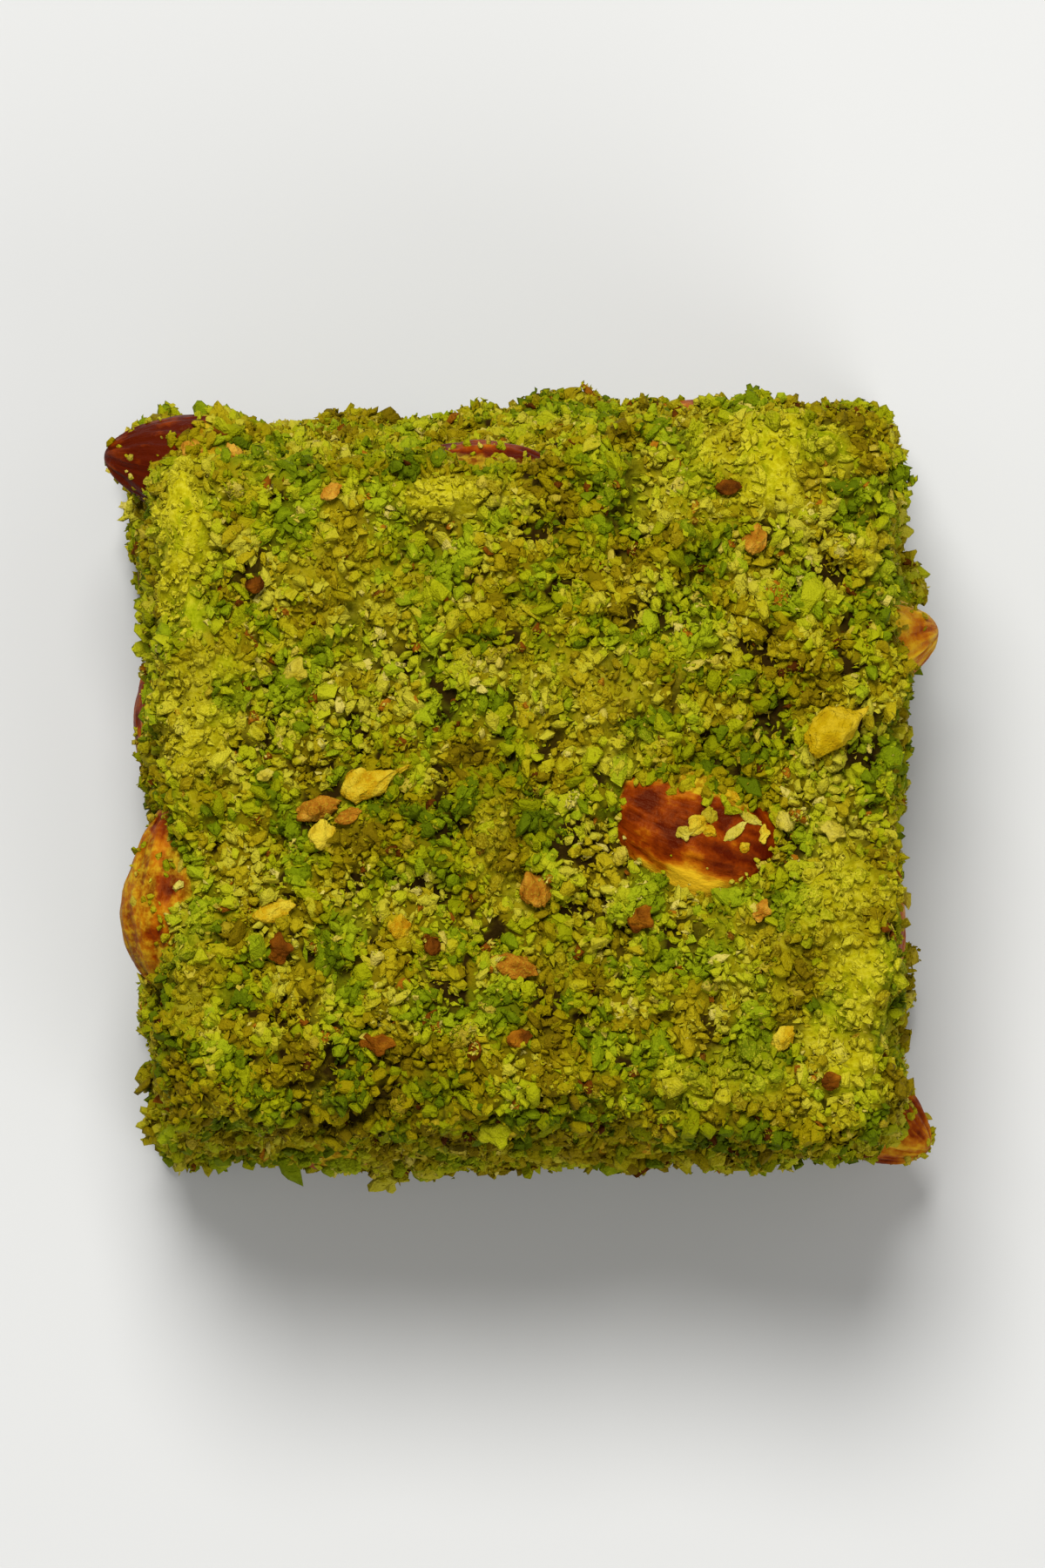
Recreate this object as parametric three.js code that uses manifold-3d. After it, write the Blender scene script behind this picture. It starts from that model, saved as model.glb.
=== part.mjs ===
// A square of pistachio Turkish delight: a soft block of amber jelly, cut by hand, with whole
// pistachio kernels showing at its faces, rolled in ground pistachio.
//
// Millimetres, +Z up. The origin is the middle of the base, +Y the back and +X the right side.
// The coated block is one solid, with the coarse crumbs of the coating fused to it.
// Each kernel is a solid of its own, sitting in a pocket of the block.

import * as THREE from "three";
import { ImprovedNoise } from "three/addons/math/ImprovedNoise.js";
import { MeshSurfaceSampler } from "three/addons/math/MeshSurfaceSampler.js";
import { mergeVertices } from "three/addons/utils/BufferGeometryUtils.js";
import Module from "manifold-3d";

// ---- Driving dimensions ----

const block = {
  height: 23.4,
  edgeRound: 2.4, // radius of the soft upper and upright edges
  footRound: 1.2, // radius where the sides turn under to the base
  facet: 1.6, // spacing of the surface grid
  tolerance: 0.05, // how far the finished faces may be thinned out
};

// Where each upright edge stands, seen from above, at the base and at the top.
const edges = {
  frontLeft: { base: [-19.6, -19.6], top: [-18.2, -17.9] },
  frontRight: { base: [19.7, -19.7], top: [19.2, -18.6] },
  backLeft: { base: [-20.2, 19.6], top: [-18.8, 16.0] },
  backRight: { base: [19.6, 20.0], top: [18.6, 19.2] },
};

// Swells and hollows of the soft block, mostly nuts close under its skin.
const swells = [
  { at: [13.5, 15.5, 22], reach: 6.0, rise: 1.1 }, // back right corner
  { at: [-3.0, 14.5, 22], reach: 4.5, rise: 0.7 },
  { at: [16.5, -9.0, 22], reach: 6.5, rise: 0.8 }, // along the right edge
  { at: [-15.5, 6.0, 22], reach: 5.5, rise: 0.6 }, // along the left edge
  { at: [2.0, 3.0, 23], reach: 9.0, rise: 0.7 }, // crown of the top
  { at: [-6.0, -9.0, 23], reach: 5.0, rise: 0.5 },
  { at: [3.0, -7.5, 23], reach: 4.0, rise: -0.7 },
  { at: [-9.5, 3.0, 23], reach: 4.5, rise: -0.6 },
  { at: [8.0, 9.0, 23], reach: 4.0, rise: -0.6 },
  { at: [-12.0, 18.0, 17], reach: 6.0, rise: -1.3 }, // sunken back left slope
  { at: [-2.5, 18.5, 21], reach: 6.5, rise: -1.1 }, // where the back edge draws in
  { at: [3.0, 20.0, 9], reach: 7.0, rise: 0.9 },
  { at: [20.0, 8.0, 11], reach: 7.0, rise: 0.9 },
  { at: [20.0, -3.0, 15], reach: 5.0, rise: -0.8 },
  { at: [-20.0, -1.0, 9], reach: 6.0, rise: -0.9 },
  { at: [7.0, -20.0, 12], reach: 6.5, rise: 0.9 },
  { at: [-8.0, -20.0, 14], reach: 5.0, rise: -0.8 },
];

// Unevenness of the whole skin: slack of the jelly, clumps of the coating, and its fine crumbs.
const slack = { length: 9, depth: 1.1, seed: 3.7 };
const clumps = { length: 3.1, depth: 0.7, seed: 11.3 };
const grit = { depth: 0.45, seed: 28 };

// Coarse crumbs fused to the skin, the largest placed first.
const crumbs = {
  count: 150,
  largest: 1.5, // radius
  smallest: 0.8,
  flatness: 0.7, // height to width, as they lie flat
  tilt: 25, // degrees at most, off the skin
  spacing: 3.1, // least distance between centres, at the largest
  seed: 41,
};

const clearance = 0.3; // between a kernel and its pocket

// Whole kernels that show at the faces: where the middle is, length, girth, the way the point heads
// (degrees from +X, seen from above), how far it pitches up, and the roll about its own length.
const kernels = {
  top: { at: [8.3, -2.3, 21.0], length: 11.5, girth: 7.3, heading: 158, pitch: 2, roll: 12 },
  left_front: { at: [-17.3, -5.6, 18.9], length: 10.5, girth: 6.4, heading: 86, pitch: 3, roll: 25 },
  left_back: { at: [-16.9, 16.4, 15.4], length: 9.6, girth: 5.6, heading: 172, pitch: -4, roll: 40 },
  left_low: { at: [-16.7, 3.6, 6.8], length: 12.5, girth: 7.6, heading: -98, pitch: 16, roll: 70 },
  back_high: { at: [-2.0, 14.4, 18.7], length: 10.5, girth: 6.8, heading: 8, pitch: 5, roll: 50 },
  back_low: { at: [9.0, 16.8, 7.4], length: 12.5, girth: 7.8, heading: 172, pitch: 24, roll: 80 },
  right_back: { at: [16.1, 6.8, 14.2], length: 11.5, girth: 6.8, heading: 14, pitch: -12, roll: 75 },
  right_front: { at: [16.5, -7.2, 7.8], length: 13.0, girth: 7.8, heading: -82, pitch: 14, roll: 95 },
  right_corner: { at: [17.6, -16.6, 5.2], length: 8.5, girth: 5.6, heading: -30, pitch: 8, roll: 60 },
  front_right: { at: [6.6, -15.9, 13.0], length: 13.0, girth: 7.8, heading: 4, pitch: -14, roll: 85 },
  front_left: { at: [-10.2, -16.2, 7.2], length: 12.0, girth: 7.6, heading: -174, pitch: -22, roll: 65 },
};

// ---- Solids: three.js geometry in and out of manifold-3d, which joins and cuts ----

const wasm = await Module();
wasm.setup();

function toSolid(geometry) {
  const bare = geometry.clone();
  bare.deleteAttribute("normal");
  bare.deleteAttribute("uv");
  const merged = mergeVertices(bare, 1e-4);
  return new wasm.Manifold(
    new wasm.Mesh({
      numProp: 3,
      vertProperties: new Float32Array(merged.attributes.position.array),
      triVerts: new Uint32Array(merged.index.array),
    }),
  );
}

function toGeometry(solid) {
  const { vertProperties, triVerts } = solid.getMesh();
  const geometry = new THREE.BufferGeometry()
    .setAttribute("position", new THREE.BufferAttribute(vertProperties, 3))
    .setIndex(new THREE.BufferAttribute(triVerts, 1));
  geometry.computeVertexNormals();
  return geometry;
}

// The largest body of a solid: its sealed hollows are filled and its loose scraps dropped.
function mainBody(solid) {
  return solid.decompose().sort((a, b) => b.volume() - a.volume())[0];
}

// ---- Small tools ----

const { lerp, clamp, degToRad, seededRandom } = THREE.MathUtils;
const noise = new ImprovedNoise();

// Moves every vertex of a geometry by a function of its position and its normal.
function reshape(geometry, move) {
  const { position, normal } = geometry.attributes;
  const point = new THREE.Vector3();
  const out = new THREE.Vector3();
  for (let i = 0; i < position.count; i++) {
    point.fromBufferAttribute(position, i);
    if (normal) out.fromBufferAttribute(normal, i);
    move(point, out);
    position.setXYZ(i, point.x, point.y, point.z);
  }
  return geometry;
}

const unevenness = (point, { length, depth, seed }) =>
  depth * noise.noise(point.x / length + seed, point.y / length + seed, point.z / length + seed);

// ---- The block ----

// Rounds a box's edges: a point closer than the radius to a face is drawn onto the round.
function roundEdges(point, half) {
  const radius = lerp(block.footRound, block.edgeRound, (point.z / half.z + 1) / 2);
  const core = new THREE.Vector3(
    clamp(point.x, radius - half.x, half.x - radius),
    clamp(point.y, radius - half.y, half.y - radius),
    clamp(point.z, block.footRound - half.z, half.z - block.edgeRound),
  );
  const offset = point.clone().sub(core);
  if (offset.lengthSq() > 0) point.copy(core).add(offset.setLength(radius));
}

// Stands a point of the upright box between the four leaning edges.
function leanToEdges(point, half) {
  const across = (point.x / half.x + 1) / 2;
  const along = (point.y / half.y + 1) / 2;
  const up = (point.z / half.z + 1) / 2;
  const corner = ({ base, top }, axis) => lerp(base[axis], top[axis], up);
  const between = (axis) =>
    lerp(
      lerp(corner(edges.frontLeft, axis), corner(edges.frontRight, axis), across),
      lerp(corner(edges.backLeft, axis), corner(edges.backRight, axis), across),
      along,
    );
  point.set(between(0), between(1), up * block.height);
}

function swellAt(point) {
  return swells.reduce((sum, { at, reach, rise }) => {
    const distance = point.distanceTo(new THREE.Vector3(...at));
    return sum + rise * Math.exp(-2 * (distance / reach) ** 2);
  }, 0);
}

function blockGeometry() {
  const half = new THREE.Vector3(20, 20, block.height / 2);
  const cells = (size) => Math.round((2 * size) / block.facet);
  const box = new THREE.BoxGeometry(
    2 * half.x, 2 * half.y, 2 * half.z,
    cells(half.x), cells(half.y), cells(half.z),
  );
  box.deleteAttribute("normal");
  box.deleteAttribute("uv");
  const skin = mergeVertices(box);
  reshape(skin, (point) => {
    roundEdges(point, half);
    leanToEdges(point, half);
  });
  skin.computeVertexNormals();
  seededRandom(grit.seed);
  return reshape(skin, (point, out) => {
    const lifted = clamp(point.z / block.footRound, 0, 1); // the foot stays flat on the table
    const crumb = grit.depth * lerp(-1, 1, seededRandom());
    const rise = swellAt(point) + unevenness(point, slack) + unevenness(point, clumps) + crumb;
    point.addScaledVector(out, lifted * rise);
    point.z = Math.max(point.z, 0);
  });
}

// ---- The coating's coarse crumbs ----

// An angular chip, flat along Z: an octahedron with each corner pulled in or out.
function crumbGeometry(radius) {
  const chip = new THREE.OctahedronGeometry(radius, 0);
  chip.deleteAttribute("normal");
  chip.deleteAttribute("uv");
  return reshape(mergeVertices(chip), (point) => {
    point.multiplyScalar(lerp(0.75, 1.25, seededRandom()));
    point.z *= crumbs.flatness;
  });
}

// Spots on the skin for the crumbs, from the largest to the smallest, never closer than their spacing.
function crumbSpots(skin) {
  const sampler = new MeshSurfaceSampler(new THREE.Mesh(skin))
    .setRandomGenerator(() => seededRandom())
    .build();
  const spots = [];
  const triesForEach = 60;
  for (let tries = 0; spots.length < crumbs.count && tries < triesForEach * crumbs.count; tries++) {
    const radius = lerp(crumbs.largest, crumbs.smallest, Math.sqrt(spots.length / crumbs.count));
    const spacing = crumbs.spacing * (radius / crumbs.largest);
    const at = new THREE.Vector3();
    const out = new THREE.Vector3();
    sampler.sample(at, out);
    const onFoot = at.z < radius;
    const crowded = spots.some((other) => other.at.distanceTo(at) < spacing);
    if (!onFoot && !crowded) spots.push({ at, out, radius });
  }
  return spots;
}

// A crumb lying on its spot, turned at random and half sunk in the skin.
function crumbSolid({ at, out, radius }) {
  const up = new THREE.Vector3(0, 0, 1);
  const tip = degToRad(crumbs.tilt);
  const lie = new THREE.Euler(
    lerp(-tip, tip, seededRandom()), lerp(-tip, tip, seededRandom()), 2 * Math.PI * seededRandom(),
  );
  const turn = new THREE.Quaternion().setFromUnitVectors(up, out);
  turn.multiply(new THREE.Quaternion().setFromEuler(lie));
  return toSolid(crumbGeometry(radius).applyQuaternion(turn).translate(at.x, at.y, at.z));
}

// ---- Kernels ----

// A pistachio kernel along X: blunt at one end, drawn towards a point at the other, flattened a
// little, with a seam down its length and shallow wrinkles.
function kernelGeometry({ length, girth }, grow = 0) {
  const egg = new THREE.IcosahedronGeometry(1, 2);
  egg.deleteAttribute("normal");
  egg.deleteAttribute("uv");
  return reshape(mergeVertices(egg), (point) => {
    const taper = 1 - 0.22 * point.x - 0.1 * point.x ** 2;
    const seam = 1 - 0.1 * Math.exp(-((point.y / 0.16) ** 2));
    const wrinkle = 1 + 0.09 * noise.noise(3 * point.x, 3 * point.y + girth, 3 * point.z + length);
    point.set(
      point.x * (length / 2 + grow),
      point.y * taper * wrinkle * (girth / 2 + grow),
      point.z * taper * wrinkle * seam * (0.46 * girth + grow),
    );
  });
}

// ---- Colours ----

const coating = () =>
  new THREE.MeshStandardMaterial({ color: 0x8a8414, roughness: 0.9, metalness: 0 });
const kernelSkin = () =>
  new THREE.MeshStandardMaterial({ color: 0x8c5616, roughness: 0.45, metalness: 0 });

// ---- Assembly ----

const sweet = new THREE.Group();

const kernelMeshes = Object.entries(kernels).map(([place, kernel]) => {
  const mesh = new THREE.Mesh(kernelGeometry(kernel), kernelSkin());
  mesh.name = `kernel_${place}`;
  mesh.position.set(...kernel.at);
  const { heading, pitch, roll } = kernel;
  mesh.rotation.set(degToRad(roll), degToRad(-pitch), degToRad(heading), "ZYX");
  mesh.updateMatrix();
  sweet.add(mesh);
  return { mesh, kernel };
});

function coatedBlock() {
  const skin = blockGeometry();
  seededRandom(crumbs.seed);
  const coated = wasm.Manifold.union([toSolid(skin), ...crumbSpots(skin).map(crumbSolid)]);
  const pockets = kernelMeshes.map(({ mesh, kernel }) =>
    toSolid(kernelGeometry(kernel, clearance).applyMatrix4(mesh.matrix)),
  );
  const cut = coated.subtract(wasm.Manifold.union(pockets)).trimByPlane([0, 0, 1], 0);
  const mesh = new THREE.Mesh(toGeometry(mainBody(cut.simplify(block.tolerance))), coating());
  mesh.name = "coated_block";
  return mesh;
}

sweet.add(coatedBlock());

// The origin is exactly under the middle of the finished piece.
const extent = new THREE.Box3().setFromObject(sweet, true);
const middle = extent.getCenter(new THREE.Vector3());
sweet.position.set(-middle.x, -middle.y, -extent.min.z);

export default sweet;
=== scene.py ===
import math

import bpy
import numpy as np
from mathutils import Euler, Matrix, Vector, noise
from mathutils.bvhtree import BVHTree


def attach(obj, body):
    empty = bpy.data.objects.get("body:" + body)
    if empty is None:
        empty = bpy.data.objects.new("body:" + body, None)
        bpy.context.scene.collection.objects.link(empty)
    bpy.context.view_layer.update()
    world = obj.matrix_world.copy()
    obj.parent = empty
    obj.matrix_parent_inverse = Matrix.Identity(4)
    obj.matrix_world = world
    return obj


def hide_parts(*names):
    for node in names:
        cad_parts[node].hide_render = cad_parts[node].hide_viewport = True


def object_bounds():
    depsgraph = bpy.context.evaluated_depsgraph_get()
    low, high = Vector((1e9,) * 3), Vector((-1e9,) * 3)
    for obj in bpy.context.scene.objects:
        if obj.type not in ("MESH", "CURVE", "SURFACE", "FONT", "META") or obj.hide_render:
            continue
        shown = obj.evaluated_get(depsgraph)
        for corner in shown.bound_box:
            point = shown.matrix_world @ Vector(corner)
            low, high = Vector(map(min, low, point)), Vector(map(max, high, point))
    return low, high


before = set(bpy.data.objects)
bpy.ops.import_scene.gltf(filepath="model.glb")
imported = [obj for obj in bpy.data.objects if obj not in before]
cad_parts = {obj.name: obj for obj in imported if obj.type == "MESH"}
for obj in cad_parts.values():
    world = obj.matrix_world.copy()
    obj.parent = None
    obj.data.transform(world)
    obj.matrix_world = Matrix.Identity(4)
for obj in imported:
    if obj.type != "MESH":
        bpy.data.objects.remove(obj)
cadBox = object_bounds()
mm = 0.001  # lengths are in metres
welding = 0.001 * mm  # corners that are nearer to each other than this are one
nutNodes = sorted(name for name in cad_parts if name.startswith("kernel_"))
print("frame loaded,", len(nutNodes), "nuts")


# Camera, floor and light

view = {
    "elevation": 88.2,  # degrees above the horizon, seen from the front
    "distance": 0.8,
    "shown": 54 * mm,  # width of the picture at the middle of the sweet
    "imageSize": (1200, 1801),
    "nearest": 0.01,  # the camera sees nothing that is nearer
}

light = {
    "key": {"at": (-0.07, 0.34, 0.63), "size": 0.32, "watts": 7.1},
    "fill": {"at": (0.4, -0.48, 0.42), "size": 0.6, "watts": 2.2},
    "sky": 0.47,
}

floorShade = {
    "size": 3.0,
    "clouds": 0.4,
    "pale": (0.45, 0.45, 0.44, 1),
    "paler": (0.49, 0.49, 0.48, 1),
    "roughness": 0.7,
    "shine": 0.2,
}


def makeCamera():
    low, high = cadBox
    middle = (low + high) / 2
    rise = math.radians(view["elevation"])
    back = Vector((0, -math.cos(rise), math.sin(rise)))
    width, height = view["imageSize"]
    data = bpy.data.cameras.new("camera")
    data.lens = data.sensor_width * view["distance"] / (view["shown"] * height / width)
    data.clip_start = view["nearest"]
    camera = bpy.data.objects.new("camera", data)
    bpy.context.collection.objects.link(camera)
    camera.location = middle + back * view["distance"]
    camera.rotation_euler = (math.pi / 2 - rise, 0, 0)
    bpy.context.scene.camera = camera


def makeLamp(name, at, size, watts):
    data = bpy.data.lights.new(name, "AREA")
    data.shape = "DISK"
    data.size = size
    data.energy = watts
    lamp = bpy.data.objects.new(name, data)
    bpy.context.collection.objects.link(lamp)
    lamp.location = at
    lamp.rotation_euler = (-Vector(at)).to_track_quat("-Z", "Y").to_euler()


def makeSky():
    world = bpy.data.worlds.new("sky")
    bpy.context.scene.world = world
    world.use_nodes = True
    background = world.node_tree.nodes["Background"]
    background.inputs["Color"].default_value = (1, 1, 1, 1)
    background.inputs["Strength"].default_value = light["sky"]


# Shader maths: a Signal is one socket, and an expression on Signals adds Math nodes

class Signal:
    def __init__(self, tree, socket=None):
        self.tree = tree
        self.socket = socket

    def node(self, kind, settings=None, inputs=None, out=0):
        made = self.tree.nodes.new("ShaderNode" + kind)
        for name, value in (settings or {}).items():
            if name == "stops":
                ramp = made.color_ramp.elements
                while len(ramp) < len(value):
                    ramp.new(0.5)
                for stop, (place, colour) in zip(ramp, value):
                    stop.position = place
                    stop.color = colour
            else:
                setattr(made, name, value)
        for name, value in (inputs or {}).items():
            if isinstance(value, Signal):
                self.tree.links.new(value.socket, made.inputs[name])
            else:
                made.inputs[name].default_value = value
        return Signal(self.tree, made.outputs[out])

    def maths(self, operation, *terms):
        return self.node("Math", {"operation": operation}, dict(enumerate(terms)))

    def __add__(self, other):
        return self.maths("ADD", self, other)

    def __radd__(self, other):
        return self.maths("ADD", other, self)

    def __sub__(self, other):
        return self.maths("SUBTRACT", self, other)

    def __rsub__(self, other):
        return self.maths("SUBTRACT", other, self)

    def __mul__(self, other):
        return self.maths("MULTIPLY", self, other)

    def __rmul__(self, other):
        return self.maths("MULTIPLY", other, self)

    def between(self, low, high):  # 0 at low, 1 at high, smooth in between
        return self.node(
            "MapRange",
            {"interpolation_type": "SMOOTHSTEP"},
            {"Value": self, "From Min": low, "From Max": high},
        )

    def blend(self, first, second):  # first where this is 0, second where it is 1
        return self.node(
            "Mix", {"data_type": "RGBA"}, {0: self, 6: first, 7: second}, out=2
        )

    def ramp(self, *stops):
        return self.node("ValToRGB", {"stops": stops}, {"Fac": self})

    def spots(self, size, detail=2, roughness=0.5, where=None):  # noise, with features of that size
        return self.node(
            "TexNoise",
            {"noise_dimensions": "3D"},
            {
                "Vector": where or self,
                "Scale": 1 / size,
                "Detail": detail,
                "Roughness": roughness,
            },
        )

    def bump(self, depth):
        return self.node("Bump", None, {"Height": self, "Distance": depth})

    def painted(self, name, out="Fac"):  # what the mesh's attribute of that name says
        return self.node("Attribute", {"attribute_name": name}, out=out)


def newFinish(name, **uniform):
    finish = bpy.data.materials.new(name)
    finish.use_nodes = True
    tree = finish.node_tree
    shader = tree.nodes["Principled BSDF"]
    for socket, value in uniform.items():
        shader.inputs[socket.replace("_", " ")].default_value = value
    place = Signal(tree).node("TexCoord", out="Object")
    return finish, place, shader


def feed(shader, **signals):
    for socket, signal in signals.items():
        shader.id_data.links.new(signal.socket, shader.inputs[socket.replace("_", " ")])


def rgb(red, green, blue):  # a screen colour, 0 to 255, as the shader's linear one
    def linear(level):
        level /= 255
        return level / 12.92 if level <= 0.04045 else ((level + 0.055) / 1.055) ** 2.4

    return (linear(red), linear(green), linear(blue), 1)


def makeFloor():
    bpy.ops.mesh.primitive_plane_add(size=floorShade["size"])
    floor = bpy.context.object
    floor.name = "floor"
    finish, place, shader = newFinish(
        "floor", Roughness=floorShade["roughness"], Specular_IOR_Level=floorShade["shine"]
    )
    clouds = place.spots(floorShade["clouds"])
    feed(shader, Base_Color=clouds.blend(floorShade["pale"], floorShade["paler"]))
    floor.data.materials.append(finish)


makeCamera()
for lampName in ("key", "fill"):
    makeLamp(lampName, **light[lampName])
makeSky()
makeFloor()
bpy.context.scene.view_settings.view_transform = "Standard"
print("camera, light and floor done")


# Small helpers for pieces

def selectOnly(piece):
    bpy.ops.object.select_all(action="DESELECT")
    piece.select_set(True)
    bpy.context.view_layer.objects.active = piece


def applyModifier(piece, kind, **settings):
    selectOnly(piece)
    modifier = piece.modifiers.new(kind, kind)
    for name, value in settings.items():
        setattr(modifier, name, value)
    bpy.ops.object.modifier_apply(modifier=modifier.name)


def copyNode(node, name):  # a copy of a CAD node, with its loose triangles merged
    piece = bpy.data.objects.new(name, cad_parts[node].data.copy())
    bpy.context.collection.objects.link(piece)
    piece.data.materials.clear()
    selectOnly(piece)
    bpy.ops.mesh.customdata_custom_splitnormals_clear()
    bpy.ops.object.mode_set(mode="EDIT")
    bpy.ops.mesh.select_all(action="SELECT")
    bpy.ops.mesh.remove_doubles(threshold=welding)
    bpy.ops.object.mode_set(mode="OBJECT")
    return piece


def pointsOf(mesh):
    values = np.empty(3 * len(mesh.vertices))
    mesh.vertices.foreach_get("co", values)
    return values.reshape(-1, 3)


def normalsOf(mesh):
    values = np.empty(3 * len(mesh.vertices))
    mesh.vertex_normals.foreach_get("vector", values)
    return values.reshape(-1, 3)


def movePoints(mesh, points):
    mesh.vertices.foreach_set("co", points.ravel())
    mesh.update()


def paint(mesh, name, values):  # one number for each vertex, for the material to read
    mesh.attributes.new(name, "FLOAT", "POINT").data.foreach_set("value", values)


def smooth(values, low, high):
    share = np.clip((values - low) / (high - low), 0, 1)
    return share * share * (3 - 2 * share)


def noiseAt(points, size, seed):  # from about -1 to 1
    shift = Vector((seed, 2 * seed, 3 * seed))
    return np.array([noise.noise(Vector(point) / size + shift) for point in points])


def searchTree(meshes):
    vertices, faces = [], []
    for mesh in meshes:
        first = len(vertices)
        vertices += [vertex.co.copy() for vertex in mesh.vertices]
        faces += [[first + corner for corner in face.vertices] for face in mesh.polygons]
    return BVHTree.FromPolygons(vertices, faces)


nutTree = searchTree([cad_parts[node].data for node in nutNodes])


# How the coating varies: powder or crumbs, greener or yellower, clumps, hollows, bare jelly, and painted
# shade

blockMiddle = Vector((0, -0.15 * mm, 0))
upperFace = (17 * mm, 21 * mm)  # marks on that face fade out from the second height down to the first

noiseSeeds = {
    "powder": 5,
    "powderCloud": 13,
    "tones": 41,
    "toneMottle": 43,
    "pits": 71,
    "clumps": 21,
    "lumps": 31,
    "bare": 9,
    "nutSides": 33,
    "nutPatches": 61,
    "tints": 51,
    "shades": 53,
}

powder = {
    "patches": (  # middle and reach along x and y on the upper face, and how thick
        ((-17.7, 11.8), (2.3, 6.0), 1.3),
        ((-3.6, 14.5), (3.3, 1.3), 0.9),
        ((12.8, 16.6), (4.2, 3.0), 1.0),
        ((17.0, -11.0), (2.4, 7.0), 0.9),
        ((16.5, -5.5), (3.0, 3.5), 0.8),
        ((-16.8, 3.5), (3.0, 5.0), 0.75),
        ((-17.0, -9.0), (2.0, 5.0), 0.5),
        ((11.0, -15.6), (6.0, 2.2), 0.6),
        ((7.5, 14.6), (4.0, 3.0), 0.5),
        ((3.0, 5.0), (6.0, 2.6), 0.4),
        ((-8.5, 10.0), (5.0, 4.5), 0.35),
        ((12.0, -9.0), (4.5, 4.5), 0.4),
    ),
    "raggedness": 0.7,
    "grain": 1.7 * mm,
    "spread": 0.2,  # how far past its reach a patch starts
    "rim": 0.9,  # how far from there it is thickest, in shares of the reach too
    "cloud": 3.4 * mm,  # soft patches everywhere else
    "cloudFrom": 0.25,
    "cloudTo": 0.6,
    "cloudShare": 0.5,
}

tonePatches = {"size": 2.6 * mm, "mottle": 0.9 * mm, "mottleShare": 0.45}

pits = {
    "patches": (  # where more of the coating has come off; the crumbs there are painted darker as shade
        ((17.0, 4.4), (2.6, 5.6), 0.27),
        ((12.6, 8.0), (3.0, 2.4), 0.24),
        ((4.6, 14.0), (2.4, 1.3), 0.4),
        ((7.0, 10.4), (1.8, 1.4), 0.3),
        ((-13.4, 10.6), (1.9, 1.7), 0.34),
        ((-3.2, 3.8), (1.8, 1.2), 0.3),
        ((-1.0, 1.8), (1.4, 1.4), 0.35),
        ((-3.8, -1.8), (2.6, 1.8), 0.3),
        ((-12.0, -3.8), (2.4, 1.5), 0.25),
        ((-12.0, -8.6), (3.0, 1.8), 0.22),
        ((-11.0, -15.0), (9.0, 4.0), 0.17),
        ((5.0, 0.4), (2.4, 1.0), 0.5),
        ((10.4, 0.4), (2.8, 0.7), 0.6),
        ((5.2, -7.2), (1.8, 1.3), 0.25),
        ((-4.0, -18.8), (18.0, 2.2), 0.22),
    ),
    "rim": 0.5,
    "size": 1.15 * mm,
    "from": 0.3,
    "to": 0.46,
    "depth": 0.3 * mm,
    # crumbs in the pits are darkened by this much, as painted shade in those hollows
    "darker": 0.35,
}

bare = {
    "clumps": 3.0 * mm,
    "from": 0.36,
    "to": 0.52,
    "slope": (0.35, 0.75),  # it fades out as a face turns up or down from the first to the second
    "below": (12 * mm, 17 * mm),
}

shades = {
    "patches": (  # crumbs on the upper face made darker or lighter; the darker patches along the front, left and right edges and beside the uppermost nut are painted shade, and the others only darken or lighten crumbs there: middle, reach, how much
        ((-9.0, -16.8), (14.0, 3.4), -0.45),
        ((-18.5, -13.5), (2.8, 6.0), -0.6),
        ((2.0, -18.8), (20.0, 2.2), -0.8),
        ((-19.3, -6.0), (1.8, 12.0), -0.4),
        ((19.3, -14.0), (1.6, 6.0), -0.4),
        ((-7.5, 5.0), (9.0, 4.5), 0.25),
        ((3.5, -4.2), (4.5, 2.2), 0.5),
        ((-7.0, -5.0), (3.6, 2.6), 0.3),
        ((9.2, -10.6), (3.4, 2.6), 0.25),
        ((4.0, 0.2), (2.4, 1.6), -0.3),
        ((14.2, 11.4), (5.0, 4.0), 0.5),
        ((14.0, 6.0), (4.0, 4.0), -0.45),
        ((9.5, 0.9), (5.0, 1.8), -0.45),
        ((-6.2, -2.4), (2.2, 2.6), -0.45),
        ((-8.6, 14.0), (2.8, 2.0), 0.45),
        ((-5.5, 11.0), (2.6, 1.8), -0.35),
        ((-12.5, -4.4), (5.0, 2.8), 0.3),
    ),
    "rim": 0.6,
    "strength": 1.25,
}

crust = {
    "clumps": 2.3 * mm,
    "clumpEdge": 0.45,
    "clumpRise": 0.37 * mm,
    "lumps": 0.95 * mm,
    "lumpRise": 0.2 * mm,
    "powderShare": 0.35,  # of that rise, where the coat is powder
}


def nearTo(points, middle, reach):  # 1 in the middle of a patch of the upper face, 0 at its rim
    across = (points[:, 0] - blockMiddle.x - middle[0] * mm) / (reach[0] * mm)
    along = (points[:, 1] - blockMiddle.y - middle[1] * mm) / (reach[1] * mm)
    return 1 - np.hypot(across, along)


def onUpperFace(points):  # 1 on that face, 0 down the sides
    return smooth(points[:, 2], *upperFace)


def powderAt(points):
    ragged = powder["raggedness"] * noiseAt(points, powder["grain"], noiseSeeds["powder"])
    most = np.zeros(len(points))
    for middle, reach, thickness in powder["patches"]:
        inside = powder["spread"] + nearTo(points, middle, reach) + ragged
        most = np.maximum(most, np.minimum(thickness * smooth(inside, 0, powder["rim"]), 1))
    most *= onUpperFace(points)
    cloud = noiseAt(points, powder["cloud"], noiseSeeds["powderCloud"])
    soft = smooth(cloud, powder["cloudFrom"], powder["cloudTo"])
    return np.maximum(most, powder["cloudShare"] * soft)


def toneAt(points):  # below 0 where the coating is greener, above 0 where it is yellower
    mottle = noiseAt(points, tonePatches["mottle"], noiseSeeds["toneMottle"])
    patches = noiseAt(points, tonePatches["size"], noiseSeeds["tones"])
    return patches + tonePatches["mottleShare"] * mottle


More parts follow.
